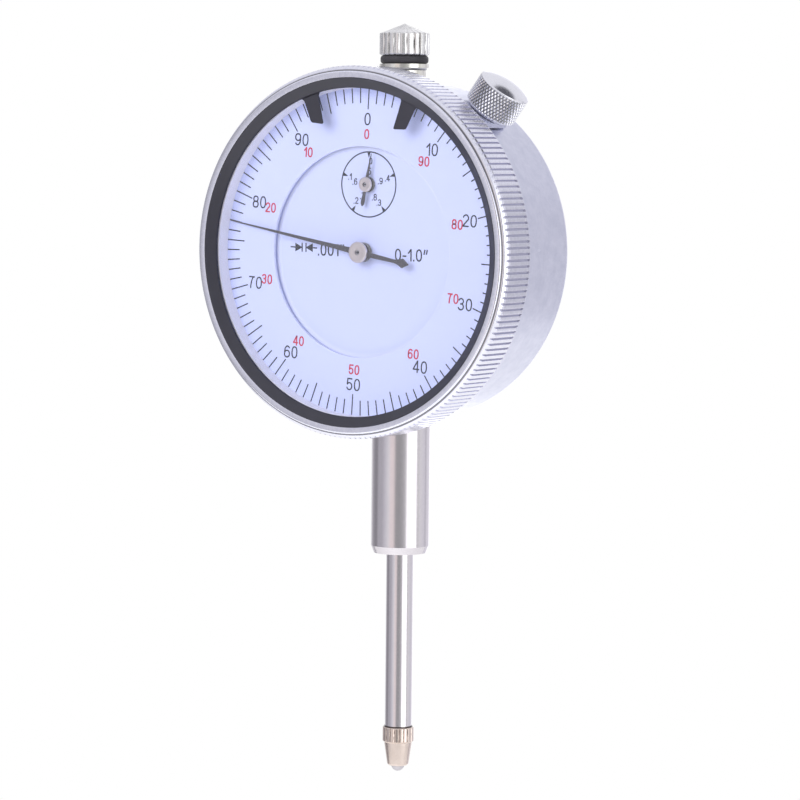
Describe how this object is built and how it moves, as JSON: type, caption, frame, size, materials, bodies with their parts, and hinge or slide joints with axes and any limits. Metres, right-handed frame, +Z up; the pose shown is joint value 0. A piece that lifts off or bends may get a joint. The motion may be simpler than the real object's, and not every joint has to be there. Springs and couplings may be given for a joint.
{
  "type": "dial indicator",
  "caption": "Plunger dial indicator with rotating serrated bezel, tolerance markers, rack-and-gear movement, ground stem and lug back.",
  "frame": {"origin": "on the stem's axis, within the length that a holder clamps, 38.2 mm below the dial's axis", "axes": "+Z up along the spindle, away from the contact point; the dial faces -Y; +X to the right of someone who reads the dial"},
  "size_m": [0.0596, 0.0383, 0.1225],
  "materials": {
    "case_plate": "satin plated, fine turned grain",
    "knurled_chrome": "bright plated, knurled",
    "ground_steel": "centreless ground, fine rings round the axis",
    "spring_steel": "drawn wire",
    "contact_steel": "plated, slightly warm",
    "polished_ball": "mirror polished",
    "bush_nickel": "bright nickel",
    "bush_bronze": "reamed bronze",
    "movement_brass": "rolled brass",
    "pinion_steel": "cut steel",
    "screw_steel": "slotted screw, machined",
    "dial_paint": "satin pale blue-white lacquer with printed scale",
    "spacer_white": "pale moulded plastic",
    "hand_black": "thin dark grey lacquer",
    "hub_champagne": "pale champagne plate, turned face",
    "crystal_clear": "clear flat acrylic",
    "ring_black": "smooth black",
    "rubber_black": "black rubber"
  },
  "bodies": {
    "root": {"case": "case_plate", "back_cover": "case_plate", "cover_screws": "screw_steel", "stem": "ground_steel", "lower_bush": "bush_bronze", "upper_bush": "bush_nickel", "front_plate": "movement_brass", "rear_plate": "movement_brass", "rack_plate": "movement_brass", "pillars": "movement_brass", "pillar_screws": "screw_steel", "rack_posts": "movement_brass", "rack_plate_screws": "screw_steel", "plate_screws": "screw_steel", "front_bearings": "bush_bronze", "rear_bearings": "bush_bronze", "rack_bearing": "bush_bronze", "spring_post": "movement_brass", "return_spring": "spring_steel", "hairspring": "spring_steel", "hairspring_stud": "movement_brass", "centre_dial": "dial_paint", "lock_bush": "bush_bronze"},
    "spindle": {"spindle": "ground_steel", "guide_pin": "ground_steel", "guide_roller": "bush_bronze", "spring_arm": "movement_brass", "lifting_cap": "knurled_chrome", "cap_bumper": "rubber_black", "contact_point": "contact_steel", "contact_ball": "polished_ball"},
    "rack_gear": {"rack_arbor": "pinion_steel", "rack_pinion": "pinion_steel", "rack_wheel": "movement_brass"},
    "main_arbor": {"centre_arbor": "pinion_steel", "centre_pinion": "pinion_steel", "main_hand": "hand_black", "main_hub": "hub_champagne", "main_hub_collar": "hub_champagne"},
    "counter_arbor": {"counter_arbor": "pinion_steel", "counter_wheel": "movement_brass", "counter_hand": "hand_black", "counter_hub": "hub_champagne", "counter_hub_collar": "hub_champagne"},
    "takeup_gear": {"takeup_arbor": "pinion_steel", "takeup_wheel": "movement_brass", "hairspring_collet": "movement_brass"},
    "bezel": {"bezel": "case_plate", "snap_ring": "spring_steel", "dial_ring": "dial_paint", "dial_spacer": "spacer_white", "dial_retainer": "spring_steel", "crystal": "crystal_clear", "crystal_ring": "ring_black"},
    "marker_left": {"tolerance_marker_left": "ring_black"},
    "marker_right": {"tolerance_marker_right": "ring_black"},
    "lock_shoe": {"lock_shoe": "case_plate"},
    "lock_knob": {"lock_knob": "knurled_chrome", "lock_screw": "ground_steel"}
  },
  "joints": [
    {"name": "spindle_slide", "type": "slide", "parent": "root", "child": "spindle", "axis": [0, 0, 1], "range_m": [0, 0.0264], "stiffness_N_per_m": 25, "springref_m": -0.03, "deforming": ["return_spring"]},
    {"name": "rack_gear_turn", "type": "hinge", "parent": "root", "child": "rack_gear", "pos_m": [-0.00352, -0.00151, 0.02791], "axis": [0, 1, 0], "range_deg": [-749.35, 1]},
    {"name": "main_hand_turn", "type": "hinge", "parent": "root", "child": "main_arbor", "pos_m": [0, -0.00151, 0.0382], "axis": [0, 1, 0], "range_deg": [-5, 3746.73]},
    {"name": "counter_hand_turn", "type": "hinge", "parent": "root", "child": "counter_arbor", "pos_m": [0.00078, -0.00151, 0.04905], "axis": [0, 1, 0], "range_deg": [-749.35, 1]},
    {"name": "takeup_gear_turn", "type": "hinge", "parent": "root", "child": "takeup_gear", "pos_m": [0.01051, -0.00151, 0.03538], "axis": [0, 1, 0], "range_deg": [-749.35, 1]},
    {"name": "bezel_turn", "type": "hinge", "parent": "root", "child": "bezel", "pos_m": [0, -0.01351, 0.0382], "axis": [0, 1, 0], "continuous": true},
    {"name": "marker_left_turn", "type": "hinge", "parent": "bezel", "child": "marker_left", "pos_m": [0, -0.01501, 0.0382], "axis": [0, 1, 0], "range_deg": [-60, 12]},
    {"name": "marker_right_turn", "type": "hinge", "parent": "bezel", "child": "marker_right", "pos_m": [0, -0.01501, 0.0382], "axis": [0, 1, 0], "range_deg": [-12, 60]},
    {"name": "lock_shoe_lift", "type": "slide", "parent": "root", "child": "lock_shoe", "axis": [0.6039, 0, 0.7971], "range_m": [0, 0.0005]},
    {"name": "lock_knob_turn", "type": "hinge", "parent": "lock_shoe", "child": "lock_knob", "pos_m": [0.01812, -0.00151, 0.06211], "axis": [0.6039, 0, 0.7971], "range_deg": [-2, 362]}
  ],
  "couplings": [
    {"joint": "rack_gear_turn", "follows": "spindle_slide", "rad_per_m": -494.74},
    {"joint": "main_hand_turn", "follows": "spindle_slide", "rad_per_m": 2473.7},
    {"joint": "counter_hand_turn", "follows": "spindle_slide", "rad_per_m": -494.74},
    {"joint": "takeup_gear_turn", "follows": "spindle_slide", "rad_per_m": -494.74},
    {"joint": "lock_knob_turn", "follows": "lock_shoe_lift", "rad_per_m": 12566}
  ]
}
